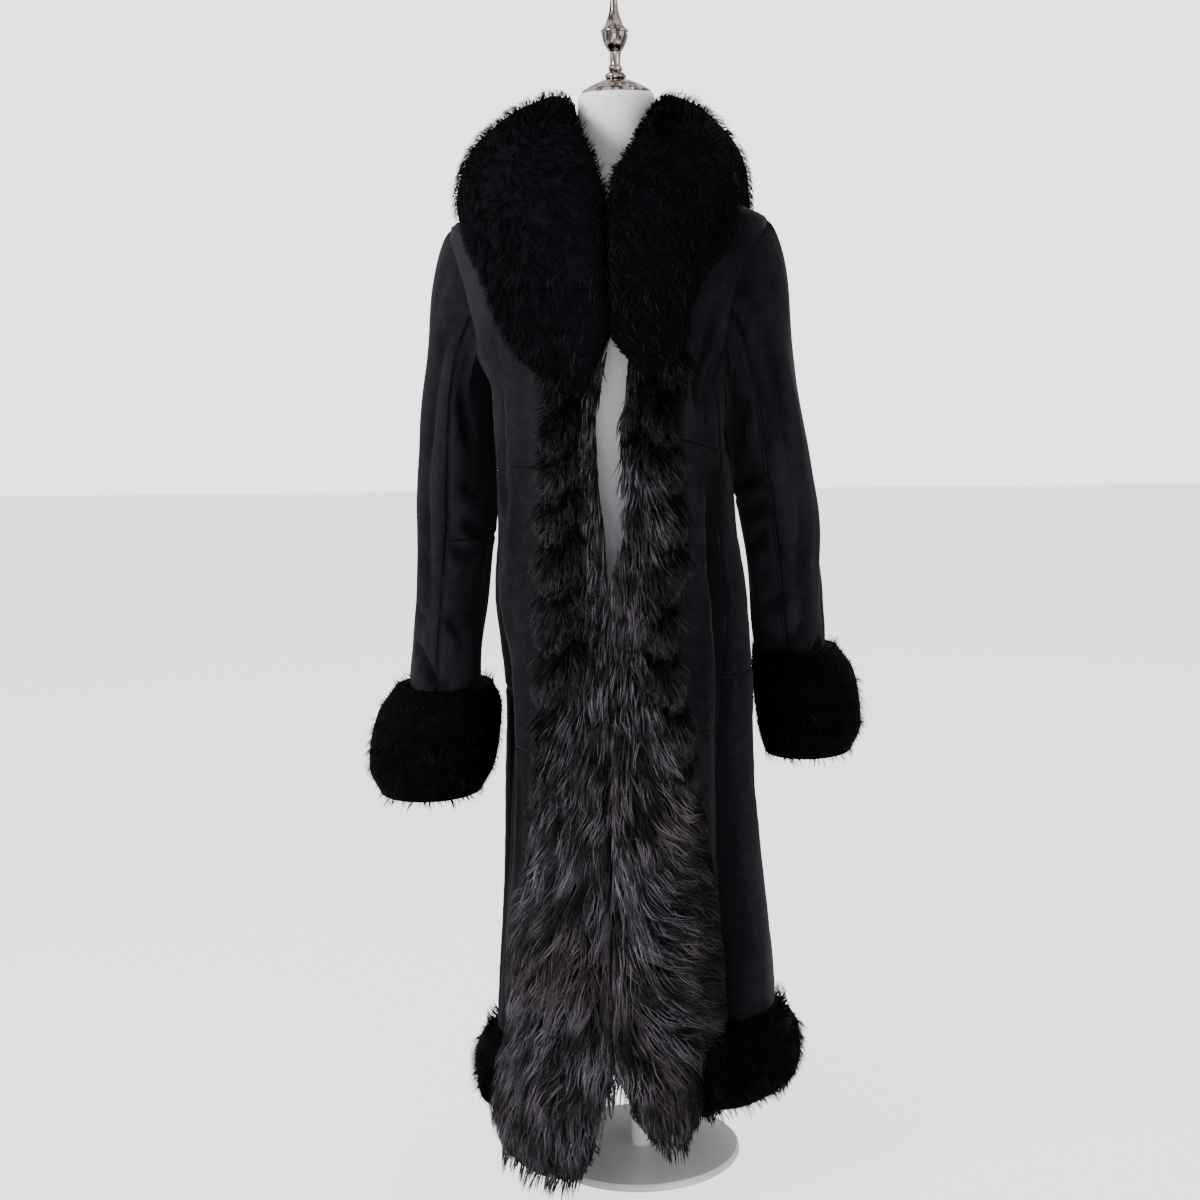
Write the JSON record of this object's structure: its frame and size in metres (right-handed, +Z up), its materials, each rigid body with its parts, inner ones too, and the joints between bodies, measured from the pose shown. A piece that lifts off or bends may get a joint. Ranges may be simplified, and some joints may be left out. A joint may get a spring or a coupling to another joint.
{
  "type": "shearling coat on a dress form",
  "caption": "Long slim shearling coat, open in front, with a shawl collar, cuffs, hem band and front trim of long fur, resting on a limbless dress form with a turned finial and a round base.",
  "frame": {"origin": "centre of the underside of the stand's round base plate", "axes": "+Z up along the pole, -Y towards the coat's front, +X towards the wearer's left"},
  "size_m": [0.6244, 0.4081, 1.5017],
  "materials": {
    "suede": "black suede, matt",
    "black_fox": "long black fur",
    "long_pile": "long wavy grey-black shearling pile",
    "form_jersey": "white jersey stretched over a padded form",
    "polished_nickel": "polished warm nickel",
    "white_enamel": "white enamel"
  },
  "bodies": {
    "root": {"front_bodice_R": "suede", "front_hip_R": "suede", "front_skirt_R": "suede", "side_bodice_R": "suede", "side_skirt_upper_R": "suede", "side_skirt_lower_R": "suede", "back_bodice_R": "suede", "back_skirt_upper_R": "suede", "back_skirt_lower_R": "suede", "top_sleeve_R": "suede", "under_sleeve_upper_R": "suede", "under_sleeve_lower_R": "suede", "collar_R": "black_fox", "cuff_fur_R": "black_fox", "hem_fur_R": "black_fox", "front_fox_R": "black_fox", "front_pile_R": "long_pile", "front_bodice_L": "suede", "front_hip_L": "suede", "front_skirt_L": "suede", "side_bodice_L": "suede", "side_skirt_upper_L": "suede", "side_skirt_lower_L": "suede", "back_bodice_L": "suede", "back_skirt_upper_L": "suede", "back_skirt_lower_L": "suede", "top_sleeve_L": "suede", "under_sleeve_upper_L": "suede", "under_sleeve_lower_L": "suede", "collar_L": "black_fox", "cuff_fur_L": "black_fox", "hem_fur_L": "black_fox", "front_fox_L": "black_fox", "front_pile_L": "long_pile", "form_torso": "form_jersey", "neck_cap": "polished_nickel", "finial": "polished_nickel", "pole": "white_enamel", "base": "white_enamel"}
  },
  "joints": []
}
